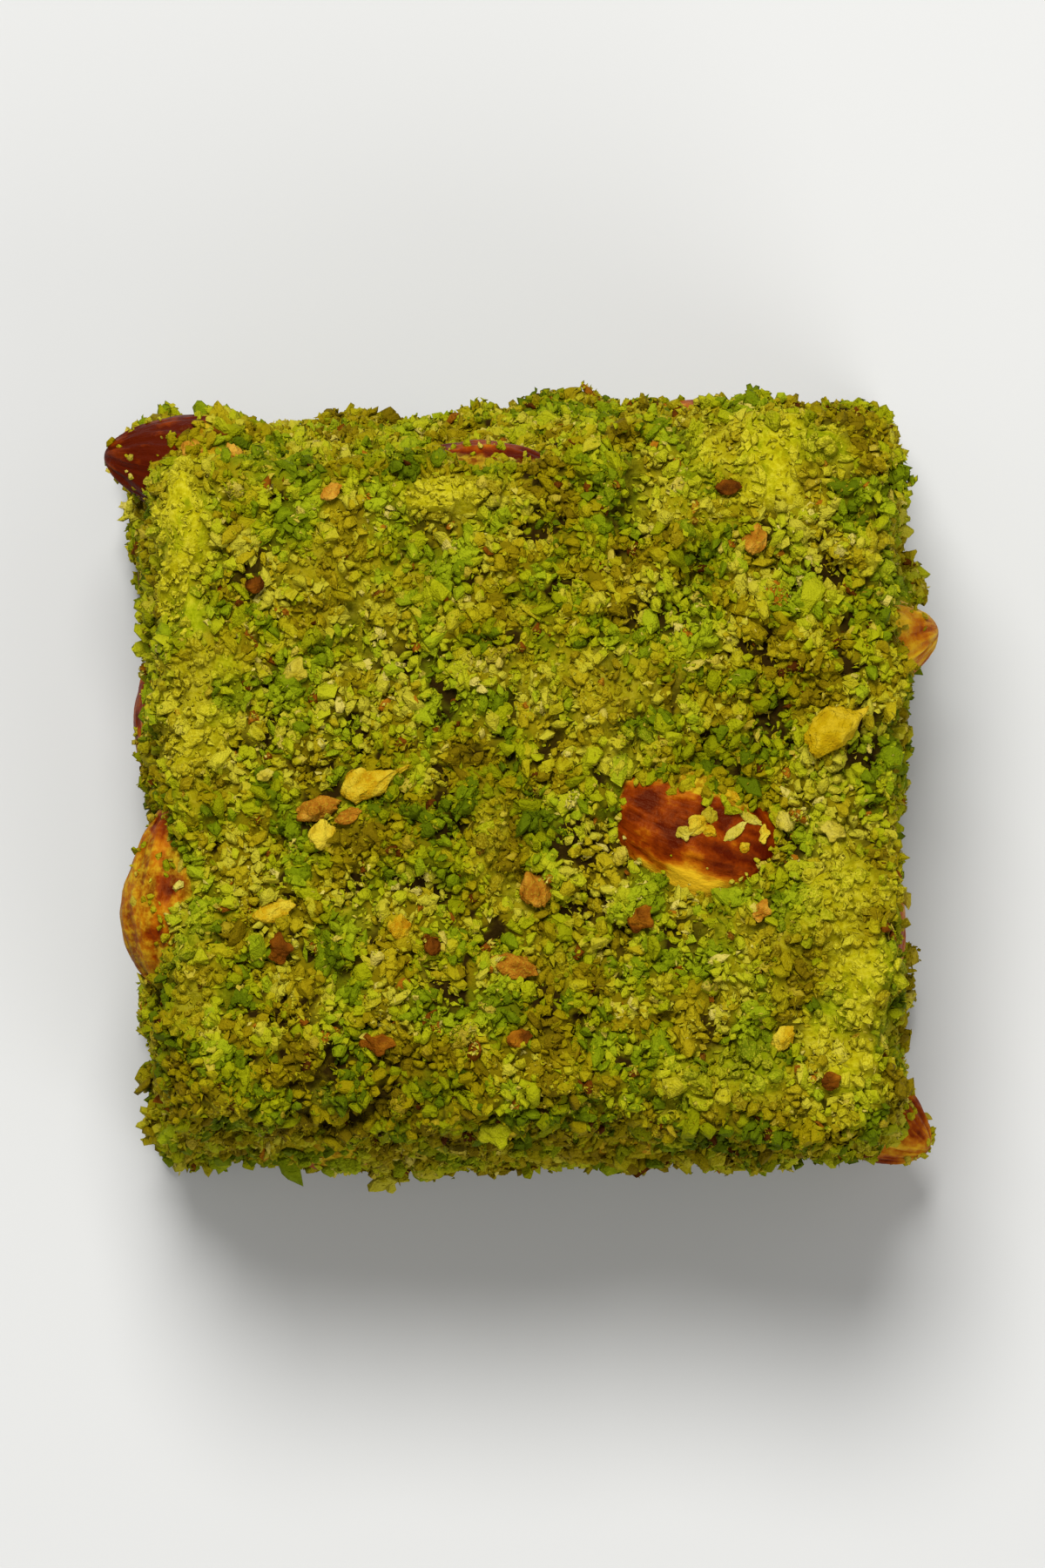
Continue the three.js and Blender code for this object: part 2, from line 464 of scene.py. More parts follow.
def pitAt(points):  # 1 where crumbs have come off or never stuck
    loose = -noiseAt(points, pits["size"], noiseSeeds["pits"])
    upper = onUpperFace(points)
    for middle, reach, more in pits["patches"]:
        loose += more * smooth(nearTo(points, middle, reach), 0, pits["rim"]) * upper
    return smooth(loose, pits["from"], pits["to"]) * (1 - powderAt(points))


def clumpAt(points):  # 0 in the hollows of the coating, 1 on its clumps
    clumps = noiseAt(points, crust["clumps"], noiseSeeds["clumps"])
    return smooth(clumps, -crust["clumpEdge"], crust["clumpEdge"])


def lightnessAndPaintedShadeAt(points):  # below 0 where crumbs are painted darker, above 0 where they are lighter; partly painted shade
    total = np.zeros(len(points))
    for middle, reach, amount in shades["patches"]:
        total += amount * smooth(nearTo(points, middle, reach), 0, shades["rim"])
    return shades["strength"] * total * onUpperFace(points)


def bareAt(points, normals):  # jelly shows at the sides only, and not at their upper edges
    steep = 1 - smooth(np.abs(normals[:, 2]), *bare["slope"])
    low = 1 - smooth(points[:, 2], *bare["below"])
    clumps = noiseAt(points, bare["clumps"], noiseSeeds["bare"])
    return steep * low * smooth(clumps, bare["from"], bare["to"])


def crustRise(points):
    lumps = noiseAt(points, crust["lumps"], noiseSeeds["lumps"]) * crust["lumpRise"]
    clumps = (2 * clumpAt(points) - 1) * crust["clumpRise"]
    crumbly = 1 - (1 - crust["powderShare"]) * powderAt(points)
    return (lumps + clumps) * crumbly - pits["depth"] * pitAt(points)


# The jelly block

jelly = {
    "voxel": 0.345 * mm,
    "smoothing": {"factor": 0.6, "iterations": 4},
    "inset": 0.42 * mm,  # leaves room for the crumbs, whose tops keep the solid's form
    "powderInset": 0.12 * mm,  # where powder lies thick instead
    "clings": 0.5 * mm,  # it lies against a nut that is nearer than this
    "stands": 1.6 * mm,  # and is on its own past this
    "overlap": 0.3 * mm,
}


def clingToNuts(points, free):
    settled = free.copy()
    for i, point in enumerate(points):
        onNut, out, _, gap = nutTree.find_nearest(Vector(point), jelly["stands"])
        if onNut is None:
            continue
        loose = smooth(np.array(gap), jelly["clings"], jelly["stands"])
        against = np.array(onNut - out * jelly["overlap"])
        settled[i] = against * (1 - loose) + free[i] * loose
    return settled


def makeJelly():
    piece = copyNode("coated_block", "jelly_block")
    applyModifier(piece, "REMESH", mode="VOXEL", voxel_size=jelly["voxel"])
    applyModifier(piece, "SMOOTH", **jelly["smoothing"])
    mesh = piece.data
    points = pointsOf(mesh)
    inset = jelly["inset"] + (jelly["powderInset"] - jelly["inset"]) * powderAt(points)
    free = points + (crustRise(points) - inset)[:, None] * normalsOf(mesh)
    free[:, 2] = np.where(points[:, 2] < jelly["inset"], points[:, 2], free[:, 2])
    settled = clingToNuts(points, free)
    settled[:, 2] = np.maximum(settled[:, 2], 0)
    movePoints(mesh, settled)
    selectOnly(piece)
    bpy.ops.object.shade_smooth()
    normals = normalsOf(mesh)
    paint(mesh, "powder", powderAt(settled))
    paint(mesh, "clump", clumpAt(settled) * (1 - pitAt(settled)))
    paint(mesh, "yellower", 0.5 + 0.5 * toneAt(settled))
    paint(mesh, "bare", bareAt(settled, normals))
    piece.data.materials.append(coatFinish())
    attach(piece, "root")
    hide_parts("coated_block")
    return piece


coat = {
    "powder": (rgb(138, 126, 0), rgb(158, 149, 10), rgb(174, 164, 36)),  # deep, middle and light
    "green": (rgb(96, 106, 0), rgb(124, 130, 0), rgb(146, 150, 16)),
    "stops": (0.4, 0.5, 0.62),
    "packedWithShade": rgb(102, 88, 0),  # painted shade on the coat between the crumbs
    "packedGreenWithShade": rgb(80, 84, 0),
    # painted shadow, nearly black, in the hollows of the coating and its pits
    "hollowShadow": rgb(34, 22, 0),
    "amber": rgb(156, 98, 4),
    "amberDeep": rgb(108, 60, 0),
    "dust": 0.22 * mm,
    "mottle": 0.7 * mm,
    "cloud": 2.2 * mm,
    "lightness": (0.5, 0.3, 0.2),  # shares of those three
    "yellowMottle": 0.5,
    "yellowEdge": (0.2, 0.6),
    "packedMottle": 0.9,
    "packedEdge": (0.45, 0.95),
    "amberMottle": 0.4,
    "amberEdge": (0.38, 0.62),
    "relief": 0.12 * mm,
    "mottleRelief": 0.6,
    "roughness": 0.9,
    "wetter": 0.5,  # the bare jelly's roughness is less by this
    "shine": 0.05,
}


def coatFinish():
    finish, place, shader = newFinish("coat", Specular_IOR_Level=coat["shine"])
    powdery = place.painted("powder")
    clump = place.painted("clump")
    jellyShows = place.painted("bare")
    yellower = place.painted("yellower")
    dust = place.spots(coat["dust"], 3, 0.6)
    mottle = place.spots(coat["mottle"])
    cloud = place.spots(coat["cloud"])
    fine, middling, broad = coat["lightness"]
    lightness = fine * dust + middling * mottle + broad * cloud
    yellow = lightness.ramp(*zip(coat["stops"], coat["powder"]))
    green = lightness.ramp(*zip(coat["stops"], coat["green"]))
    yellowShare = (yellower + coat["yellowMottle"] * (mottle - 0.5)).between(*coat["yellowEdge"])
    ground = yellowShare.blend(green, yellow)
    # between the crumbs the coat is painted in shade, and nearly black in the hollows
    tintedWithShade = yellowShare.blend(coat["packedGreenWithShade"], coat["packedWithShade"])
    clearOfHollowShadow = (clump + coat["packedMottle"] * mottle).between(*coat["packedEdge"])
    packedWithShade = clearOfHollowShadow.blend(coat["hollowShadow"], tintedWithShade)
    amberShare = (1 - coat["amberMottle"]) * cloud + coat["amberMottle"] * mottle
    amber = amberShare.between(*coat["amberEdge"]).blend(coat["amberDeep"], coat["amber"])
    crustColour = powdery.blend(packedWithShade, ground)
    feed(
        shader,
        Base_Color=jellyShows.blend(crustColour, amber),
        Roughness=coat["roughness"] - coat["wetter"] * jellyShows,
        Normal=(dust + coat["mottleRelief"] * mottle).bump(coat["relief"]),
    )
    return finish


jellyBlock = makeJelly()
print("jelly block done,", len(jellyBlock.data.polygons), "faces")


# The nuts

nut = {
    "levels": 3,
    "swell": 0.08 * mm,  # makes up for what the subdivision takes off
    "wrinkles": 0.2 * mm,
    "grain": (0.16, 1.7),  # how fast its folds change, along each mm of it and around it
    "folds": 0.42,
    "fineFolds": {"size": 0.2, "share": 0.5, "seedShift": 3},
    "tips": 1.5 * mm,  # how wide it is where the folds run out towards its tips
    "rim": 0.9 * mm,  # how far powder has crept onto it from the coating
    "rims": {"kernel_top": 0.25 * mm},
    "paler": {  # towards where it is paler, from which share of its reach that way, and how much
        "kernel_top": (((-1, 0.5, 0), 0.1, 0.15), ((-0.3, -1, 0), 0.36, 0.75)),
        "kernel_left_front": (((-1, 0, 0), 0.2, 0.1),),
        "kernel_left_back": (((1, 0, 0), 0, 0.12),),
    },
    "skin": (  # from the dark skin to the pale flesh
        (0.38, rgb(68, 12, 0)),
        (0.5, rgb(112, 40, 0)),
        (0.6, rgb(152, 84, 4)),
        (0.74, rgb(188, 148, 22)),
    ),
    "dust": (rgb(138, 104, 6), rgb(166, 142, 22)),
    "streaks": 0.3,
    "patches": 2.0 * mm,
    "speckles": 0.35 * mm,
    "paleness": {"streak": 0.2, "patch": 0.6, "fold": 0.12, "speckle": 0.2},
    "dustEdge": (0.4, 0.6),
    "dustySpeckle": 0.8,
    "dustyPatch": 0.5,
    "dustyEdge": (0.45, 1.35),
    "roughness": {"least": 0.36, "streak": 0.2, "dusty": 0.35},
    "relief": 0.14 * mm,
    "speckleRelief": 0.6,
    "shine": 0.08,
    "shineTint": (1, 0.6, 0.25, 1),
    "tones": {  # how far each nut leans to the dark skin, or to the pale flesh
        "kernel_top": -0.06,
        # kernel_left_back leans darker partly for its dark skin and partly as painted shade for the
        # shadow at the block's back corner
        "kernel_left_back": -0.17,
        "kernel_back_high": -0.12,
        "kernel_left_front": -0.02,
        "kernel_right_back": 0.15,
        "kernel_right_corner": 0.08,
        "kernel_right_front": 0.05,
        "kernel_front_right": 0.09,
        "kernel_front_left": 0.08,
        "kernel_back_low": 0.02,
    },
    "covered": {  # the side that crumbs cover, from how far off its middle
        "kernel_top": ((0.3, 1, 0), 1.5 * mm),
        "kernel_left_front": ((1, 0, 0.3), 1.3 * mm),
        "kernel_left_back": ((1, -0.6, 0), -1.2 * mm),
        "kernel_front_left": ((0, 0.3, 1), -0.2 * mm),
        "kernel_front_right": ((0, 0.3, 1), -0.2 * mm),
    },
    "dusted": {"kernel_left_front": ((-1, 0, 0), 1.3 * mm)},
    "sides": {"ragged": 0.5 * mm, "grain": 1.2 * mm, "rim": 0.5 * mm},  # the edges of those two
    "powderOnCovered": 1.2,
    "powderOnDusted": 0.8,
    "stuck": {"kernel_top": 0.05, "kernel_left_back": 0.15},  # share of its skin with single crumbs
    "usuallyStuck": 0.25,
}


jellyTree = searchTree([jellyBlock.data])


def riseAbove(tree, points, reach):  # how far each point stands out of a surface, at most the reach
    rises = np.full(len(points), reach)
    for i, point in enumerate(points):
        nearest, out, _, gap = tree.find_nearest(Vector(point), reach)
        if nearest is not None:
            rises[i] = math.copysign(gap, (Vector(point) - nearest).dot(out))
    return rises


def clearOf(tree, points, normals, reach):  # the same for a nut's skin, which also lines a hollow
    rises = np.empty(len(points))
    for i, (point, normal) in enumerate(zip(points, normals)):
        hit, out = tree.ray_cast(Vector(point), Vector(normal))[:2]
        buried = hit is not None and out.dot(Vector(normal)) > 0
        gap = tree.find_nearest(Vector(point), reach)[3]
        gap = reach if gap is None else gap
        rises[i] = -gap if buried else gap
    return rises


def ownAxes(points):  # a nut's middle, and its length, breadth and thickness as the rows of a turn
    middle = points.mean(0)
    axes = np.linalg.eigh(np.cov((points - middle).T))[1]
    turn = axes[:, ::-1].T
    turn[2] = np.cross(turn[0], turn[1])
    return middle, turn


def leanOf(node, out):  # how far each point leans to the dark skin or to the pale flesh
    lean = np.full(len(out), float(nut["tones"].get(node, 0)))
    for towards, start, amount in nut["paler"].get(node, ()):
        along = out @ np.array(Vector(towards).normalized())
        lean += amount * smooth(along / along.max(), start, 1)
    return lean


def sideShare(how, node, points, middle):  # 1 on the side that is covered or dusted
    if node not in nut[how]:
        return np.zeros(len(points))
    towards, start = nut[how][node]
    sides = nut["sides"]
    along = (points - middle) @ np.array(Vector(towards).normalized())
    along += sides["ragged"] * noiseAt(points, sides["grain"], noiseSeeds["nutSides"])
    return smooth(along, start, start + sides["rim"])


def makeNut(node):
    piece = copyNode(node, node.replace("kernel", "nut"))
    applyModifier(piece, "SUBSURF", levels=nut["levels"], render_levels=nut["levels"])
    mesh = piece.data
    points = pointsOf(mesh)
    middle, turn = ownAxes(points)
    local = (points - middle) @ turn.T
    girth = np.hypot(local[:, 1], local[:, 2])
    angle = np.arctan2(local[:, 2], local[:, 1])
    along = local[:, 0] / mm
    seed = nutNodes.index(node)
    lengthways, around = nut["grain"]
    grain = np.stack([lengthways * along, around * np.cos(angle), around * np.sin(angle)], 1)
    fine = nut["fineFolds"]
    folds = noiseAt(grain, nut["folds"], seed)
    folds += fine["share"] * noiseAt(grain, fine["size"], seed + fine["seedShift"])
    rise = nut["swell"] + nut["wrinkles"] * folds * smooth(girth, 0, nut["tips"])
    points = points + normalsOf(mesh) * rise[:, None]
    movePoints(mesh, points)
    selectOnly(piece)
    bpy.ops.object.shade_smooth()
    mesh.attributes.new("grain", "FLOAT_VECTOR", "POINT").data.foreach_set("vector", grain.ravel())
    paint(mesh, "fold", folds)
    paint(mesh, "lean", leanOf(node, points - middle))
    reach = nut["rims"].get(node, nut["rim"])
    rim = 1 - smooth(clearOf(jellyTree, points, normalsOf(mesh), 2 * nut["rim"]), 0, reach)
    covered = nut["powderOnCovered"] * sideShare("covered", node, points, middle) ** 2
    dusted = nut["powderOnDusted"] * sideShare("dusted", node, points, middle)
    paint(mesh, "rim", np.maximum(np.maximum(rim, covered), dusted))
    mesh.materials.append(nutFinish())
    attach(piece, "root")
    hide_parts(node)
    return piece


def nutFinish():
    known = bpy.data.materials.get("nut_skin")
    if known:
        return known
    finish, place, shader = newFinish(
        "nut_skin", Specular_IOR_Level=nut["shine"], Specular_Tint=nut["shineTint"]
    )
    grain = place.painted("grain", out="Vector")
    fold = place.painted("fold")
    lean = place.painted("lean")
    rim = place.painted("rim")
    streak = place.spots(nut["streaks"], 3, 0.6, grain)
    patch = place.spots(nut["patches"])
    speckle = place.spots(nut["speckles"], 3, 0.6)
    pale, rough = nut["paleness"], nut["roughness"]
    paleness = pale["streak"] * streak + pale["patch"] * patch + pale["fold"] * fold
    skin = (paleness + pale["speckle"] * speckle + lean).ramp(*nut["skin"])
    dust = speckle.between(*nut["dustEdge"]).blend(*nut["dust"])
    dusty = rim + nut["dustySpeckle"] * (speckle - 0.5) + nut["dustyPatch"] * (patch - 0.5)
    dusty = dusty.between(*nut["dustyEdge"])
    feed(
        shader,
        Base_Color=dusty.blend(skin, dust),
        Roughness=rough["least"] + rough["streak"] * streak + rough["dusty"] * dusty,
        Normal=(streak + nut["speckleRelief"] * speckle).bump(nut["relief"]),
    )
    return finish


nuts = {node: makeNut(node) for node in nutNodes}
print("nuts done")


# Single chips and shards on the upper face: the crumbs keep clear of them, and they are laid last

chips = (  # middle, length and breadth in mm, heading in degrees, tone and shape
    ((16.2, 2.7), (3.8, 2.3), 40, "gold", 9),
    ((-8.0, -0.3), (4.6, 2.4), 28, "straw", 11),
    ((-10.4, -1.4), (2.5, 1.4), 5, "orange", 2),
    ((-8.9, -1.8), (1.3, 0.9), 20, "orange", 5),
    ((-10.2, -2.8), (1.8, 1.6), 70, "straw", 12),
    ((-11.6, 5.6), (1.6, 1.2), 60, "pale", 8),
    ((-13.1, 0.3), (0.9, 0.7), 0, "pale", 2),
    ((0.6, -5.6), (2.2, 1.7), 95, "orange", 12),
    ((-0.4, -9.4), (2.2, 1.5), -20, "orange", 5),
    ((-12.4, -8.5), (1.6, 1.4), 80, "skin", 8),
    ((6.1, -7.0), (1.6, 1.3), 45, "skin", 8),
    ((15.7, -15.3), (1.2, 1.0), 0, "skin", 12),
    ((13.3, -13.1), (1.5, 1.2), 30, "straw", 2),
    ((-0.2, -13.1), (1.3, 1.1), 10, "skin", 5),
    ((-7.3, -13.4), (1.9, 1.2), -10, "skin", 8),
    ((11.5, -13.8), (1.5, 1.1), 90, "green", 12),
    ((-1.2, -17.9), (2.0, 1.6), 5, "lime", 8),
    ((-13.7, 10.0), (1.2, 1.0), 90, "skin", 12),
    ((-12.7, -6.6), (2.0, 1.3), 15, "straw", 5),
    ((-6.3, -7.5), (1.5, 1.3), 60, "straw", 12),
    ((-4.6, -8.5), (1.1, 0.9), 80, "skin", 12),
    ((12.2, -6.6), (1.2, 0.9), 60, "orange", 8),
    ((10.5, 15.0), (1.2, 1.0), 0, "skin", 5),
    ((11.8, 12.3), (1.8, 1.3), 60, "orange", 12),
    ((-9.8, 14.8), (1.1, 0.9), 30, "orange", 5),
    ((-16.9, 17.2), (1.9, 1.4), 40, "orange", 12),
    ((-15.3, 18.0), (1.5, 1.1), 0, "skin", 8),
    ((-14.8, 16.8), (1.4, 1.0), 100, "orange", 2),
    ((13.4, -2.1), (1.3, 1.1), 100, "pale", 12),
    ((15.9, -2.6), (1.3, 1.1), -30, "pale", 8),
    ((5.0, -3.8), (1.0, 0.9), 40, "pale", 2),
    ((8.9, -2.3), (1.5, 1.2), 25, "straw", 12),  # the rest lie on the uppermost nut
    ((9.5, -1.8), (1.0, 0.9), 70, "pale", 12),
    ((8.3, -2.7), (0.9, 0.8), 0, "pale", 8),
    ((9.4, -2.6), (0.9, 0.8), 120, "straw", 2),
    ((10.8, -2.6), (1.4, 0.7), 40, "pale", 5),
    ((11.6, -1.9), (1.3, 0.6), -30, "pale", 5),
    ((12.3, -2.7), (1.0, 0.6), 80, "straw", 8),
    ((10.6, -0.8), (1.2, 0.7), -35, "straw", 2),
    ((11.3, -3.4), (0.7, 0.6), 10, "straw", 12),
)

chipShape = {
    "numbers": (2, 5, 8, 9, 11, 12),
    "firstSeed": 200,
    "radius": 0.55,
    "cuts": 7,
    "cutAt": (0.22, 0.38),  # from the middle, next to a chip's own breadth
    "voxel": 0.065,
    "smoothing": {"factor": 0.5, "iterations": 1},
    "crags": (0.25, 0.11),  # how far apart, and how deep
    "fineCrags": (0.4, 0.5),  # the same, next to the others
    "taper": (0.1, 0.7),  # from the middle towards one end
    "end": 0.5,
    "thickness": 0.7,  # next to its breadth, up to the thickest
    "thickest": 1.2 * mm,
    "dropFrom": 100 * mm,
    "bed": 0.4 * mm,  # the crumbs that it lies in
    "clearing": (0.36, 0.3),  # free of crumbs, in shares of its length and breadth
    "rests": 0.4,  # how far from its middle it touches the crumbs, next to its length
    "roll": 10,
    "pitch": 12,  # in degrees, at most
    "tintScatter": 0.15,
    "dust": {"skin": 0.15, "orange": 0.35, "gold": 0.2},
    "usualDust": 0.42,
    "seed": 9,
}


def underChip(points):
    covered = np.zeros(len(points), bool)
    lengthways, sideways = chipShape["clearing"]
    for (x, y), (length, breadth), heading, _, _ in chips:
        turn = math.radians(heading)
        right = points[:, 0] - blockMiddle.x - x * mm
        up = points[:, 1] - blockMiddle.y - y * mm
        along = right * math.cos(turn) + up * math.sin(turn)
        across = up * math.cos(turn) - right * math.sin(turn)
        along /= lengthways * length * mm
        across /= sideways * breadth * mm
        covered |= np.hypot(along, across) < 1
    return covered & (points[:, 2] > upperFace[0])


# The ground pistachio: a few grains are modelled, and copied all over the block

grains = {  # the start shape, how far its corners are pushed, and planes that cut it
    "coarse": {"shapes": 8, "start": "ball", "push": 0.1, "cuts": 3},
    "middling": {"shapes": 8, "start": "ball", "push": 0.17, "cuts": 0},
    "fine": {"shapes": 6, "start": "pyramid", "push": 0.16, "cuts": 0},
    "dusting": {"shapes": 6, "start": "pyramid", "push": 0.18, "cuts": 0},
    "stuck": {"shapes": 6, "start": "ball", "push": 0.16, "cuts": 0},
    "cover": {"shapes": 6, "start": "ball", "push": 0.16, "cuts": 0},
}

grainShape = {
    "ball": 0.52,  # radius, next to the grain's size
    "pyramid": 0.5,
    "cutAt": 0.3,
    "sharp": 0.6,  # share of its faces with hard edges
    "firstSeed": 100,
}

# how a grain's own length, breadth and thickness vary, next to its size
flatness = {"length": (0.95, 1.6), "breadth": (0.7, 1.05), "thickness": (0.45, 0.85)}

scatter = {  # sizes are a grain's breadth, and sunk is how much of it is in the coating at most
    "topShare": 1.0,  # how thickly each side is covered
    "sideShare": 0.6,
    "baseShare": 0.1,
    "topFrom": 0.3,  # how far up a face looks at the top, and at the base
    "baseFrom": -0.5,
    "inHollows": 0.7,
    "bareLoss": 0.85,
    "offNuts": 0.05 * mm,
    "offJelly": 0.1 * mm,
    "outward": 0.5,  # how far out a crumb's face looks where dusting sticks to it
    "search": 2 * mm,
    "tries": 3,  # for each grain that is kept
    "offFloor": 0.3,  # of its size
    "largest": 1.5 * mm,
    "coarse": {"count": 3200, "median": 0.95 * mm, "spread": 0.2, "sunk": 0.3, "proud": 0.2},
    "middling": {"count": 19000, "median": 0.58 * mm, "spread": 0.2, "sunk": 0.3, "proud": 0.45},
    "fine": {"count": 32000, "median": 0.34 * mm, "spread": 0.2, "sunk": 0.3, "proud": 0.5},
    "dusting": {"count": 26000, "median": 0.24 * mm, "spread": 0.2, "sunk": 0.2, "proud": 0.4},
    "stuck": {"count": 4000, "median": 0.32 * mm, "spread": 0.4, "sunk": 0.2, "proud": 0.3},
    "cover": {"count": 6000, "median": 0.6 * mm, "spread": 0.25, "sunk": 0.3, "proud": 0.4},
    "inPowder": {"coarse": 0.08, "middling": 0.16, "fine": 0.75},  # how thickly, next to elsewhere
    "inPits": {"coarse": 0.02, "middling": 0.04, "fine": 0.6},
    "seeds": {"coarse": 5, "middling": 4, "fine": 3, "dusting": 6, "stuck": 7, "cover": 8},
}


def cutOff(away, distance):  # takes off what lies past a plane
    bpy.ops.mesh.select_all(action="SELECT")
    bpy.ops.mesh.bisect(plane_co=distance * away, plane_no=away, use_fill=True, clear_outer=True)


def trianglesOf(mesh):
    mesh.calc_loop_triangles()
    return np.array([triangle.vertices[:] for triangle in mesh.loop_triangles])


def modelGrain(number, start, push, cuts):
    rng = np.random.default_rng(grainShape["firstSeed"] + number)
    bpy.ops.object.select_all(action="DESELECT")
    if start == "pyramid":
        size = grainShape["pyramid"]
        bpy.ops.mesh.primitive_cone_add(vertices=4, radius1=size, depth=size)
    else:
        bpy.ops.mesh.primitive_ico_sphere_add(subdivisions=1, radius=grainShape["ball"])
    grain = bpy.context.object
    bpy.ops.object.mode_set(mode="EDIT")
    bpy.ops.mesh.select_all(action="SELECT")
    bpy.ops.transform.vertex_random(offset=push, uniform=1, seed=number)
    for _ in range(cuts):
        cutOff(Vector(rng.normal(size=3)).normalized(), grainShape["cutAt"])
    bpy.ops.object.mode_set(mode="OBJECT")
    points, faces = pointsOf(grain.data), trianglesOf(grain.data)
    sharp = rng.random(len(faces)) < grainShape["sharp"]
    bpy.data.objects.remove(grain)
    return points, faces, sharp


def randomTurns(rng, count):
    w, x, y, z = rng.normal(size=(4, count))
    size = np.sqrt(w * w + x * x + y * y + z * z)
    w, x, y, z = w / size, x / size, y / size, z / size
    rows = [
        [1 - 2 * (y * y + z * z), 2 * (x * y - z * w), 2 * (x * z + y * w)],
        [2 * (x * y + z * w), 1 - 2 * (x * x + z * z), 2 * (y * z - x * w)],
        [2 * (x * z - y * w), 2 * (y * z + x * w), 1 - 2 * (x * x + y * y)],
    ]
    return np.array(rows).transpose(2, 0, 1)


def spotsOn(piece, rng, count):  # evenly spread random points of a mesh, and the way out of it there
    mesh = piece.data
    mesh.calc_loop_triangles()
    corners = np.empty(3 * len(mesh.loop_triangles), int)
    mesh.loop_triangles.foreach_get("vertices", corners)
    a, b, c = pointsOf(mesh)[corners].reshape(-1, 3, 3).transpose(1, 0, 2)
    cross = np.cross(b - a, c - a)
    area = np.linalg.norm(cross, axis=1)
    chosen = rng.choice(len(area), count, p=area / area.sum())
    u, v = rng.random((2, count, 1))
    u, v = np.where(u + v > 1, 1 - u, u), np.where(u + v > 1, 1 - v, v)
    points = a[chosen] + u * (b - a)[chosen] + v * (c - a)[chosen]
    return points, cross[chosen] / area[chosen, None]


def coverage(points, normals, grade):
    up = normals[:, 2]
    share = np.where(up > scatter["topFrom"], scatter["topShare"], scatter["sideShare"])
    share = np.where(up < scatter["baseFrom"], scatter["baseShare"], share)
    share *= scatter["inHollows"] + (1 - scatter["inHollows"]) * clumpAt(points)
    share *= 1 - (1 - scatter["inPowder"][grade]) * powderAt(points)
    share *= 1 - (1 - scatter["inPits"][grade]) * pitAt(points)
    return share * (1 - scatter["bareLoss"] * bareAt(points, normals))


def joinGrains(name, shapes, kinds, turns, sizes, at, tint, dust, finish):
    vertices, faces, sharps, tints, dusts, first = [], [], [], [], [], 0
    for number, (points, corners, sharp) in enumerate(shapes):
        mine = kinds == number
        grown = points[None] * sizes[mine][:, None]
        placed = np.einsum("nij,nvj->nvi", turns[mine], grown) + at[mine, None]
        copies = len(placed)
        steps = first + len(points) * np.arange(copies)
        vertices.append(placed.reshape(-1, 3))
        faces.append((corners[None] + steps[:, None, None]).reshape(-1, 3))
        sharps.append(np.tile(sharp, copies))
        tints.append(np.repeat(tint[mine], len(points)))
        dusts.append(np.repeat(dust[mine], len(points)))
        first += copies * len(points)
    vertices = np.concatenate(vertices)
    vertices[:, 2] = np.maximum(vertices[:, 2], 0)
    mesh = bpy.data.meshes.new(name)
    mesh.from_pydata(vertices.tolist(), [], np.concatenate(faces).tolist(), shade_flat=False)
    flat = mesh.attributes.new("sharp_face", "BOOLEAN", "FACE")
    flat.data.foreach_set("value", np.concatenate(sharps))
    paint(mesh, "tint", np.concatenate(tints))
    paint(mesh, "dust", np.concatenate(dusts))
    mesh.materials.append(finish)
    piece = bpy.data.objects.new(name, mesh)
    bpy.context.collection.objects.link(piece)
    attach(piece, "root")
    print(name, len(at), "grains,", len(mesh.polygons), "triangles")
    return piece


tones = {  # colours from the darkest grains to the lightest
    "olive": (rgb(98, 82, 0), rgb(125, 108, 2), rgb(146, 130, 10)),
    "green": (rgb(73, 85, 0), rgb(101, 113, 2), rgb(132, 140, 12)),
    "lime": (rgb(110, 112, 0), rgb(134, 135, 4), rgb(148, 147, 16)),
    "yellow": (rgb(122, 108, 0), rgb(146, 136, 10), rgb(160, 151, 36)),
    "pale": (rgb(138, 120, 16), rgb(160, 144, 42), rgb(176, 162, 72)),
    "skin": (rgb(62, 28, 0), rgb(102, 54, 2), rgb(142, 88, 8)),
    "orange": (rgb(116, 64, 4), rgb(152, 98, 18), rgb(184, 138, 46)),
    "straw": (rgb(140, 90, 0), rgb(164, 128, 8), rgb(182, 158, 40)),
    "gold": (rgb(134, 102, 0), rgb(156, 128, 2), rgb(178, 152, 30)),
}

shares = {  # from the greenest tone to the brownest, and those that lie anywhere
    "dusting": {"green": 0.1, "lime": 0.3, "yellow": 0.4, "pale": 0.2},
    "stuck": {"lime": 0.2, "yellow": 0.5, "pale": 0.3},
    "cover": {"green": 0.2, "lime": 0.3, "yellow": 0.3, "olive": 0.2},
    "fine": {"green": 0.2, "lime": 0.28, "yellow": 0.32, "olive": 0.2, "pale": 0.04, "skin": 0.01},
    "middling": {"green": 0.22, "lime": 0.27, "yellow": 0.27, "olive": 0.18, "pale": 0.04, "skin": 0.02},
    "coarse": {"green": 0.24, "lime": 0.26, "yellow": 0.26, "olive": 0.18, "pale": 0.03, "skin": 0.03},
}
anywhere = ("pale", "skin")

drift = {  # how grains near each other are alike in tone, and how light they are
    "tonePull": 1.0,
    "toneScatter": 0.16,
    "tints": 1.5 * mm,
    "tintPull": 0.95,
    "shades": 4.5 * mm,
    "shadePull": 0.8,
    "tintScatter": 0.07,
}

crumbLook = {
    "film": 0.12 * mm,  # of powder
    "filmEdge": (0.35, 0.65),
    "dustShare": 0.8,
    "filmShare": 0.8,
    "dustEdge": (0.2, 0.9),
    "mottle": 0.35 * mm,
    "mottling": 0.7,
    "mottleOnChips": 0.9 * mm,
    "mottlingOnChips": 2.0,
    "stops": (0.05, 0.5, 0.95),
    "relief": 0.12 * mm,
    "roughness": 0.75,
    "shine": 0.04,
}


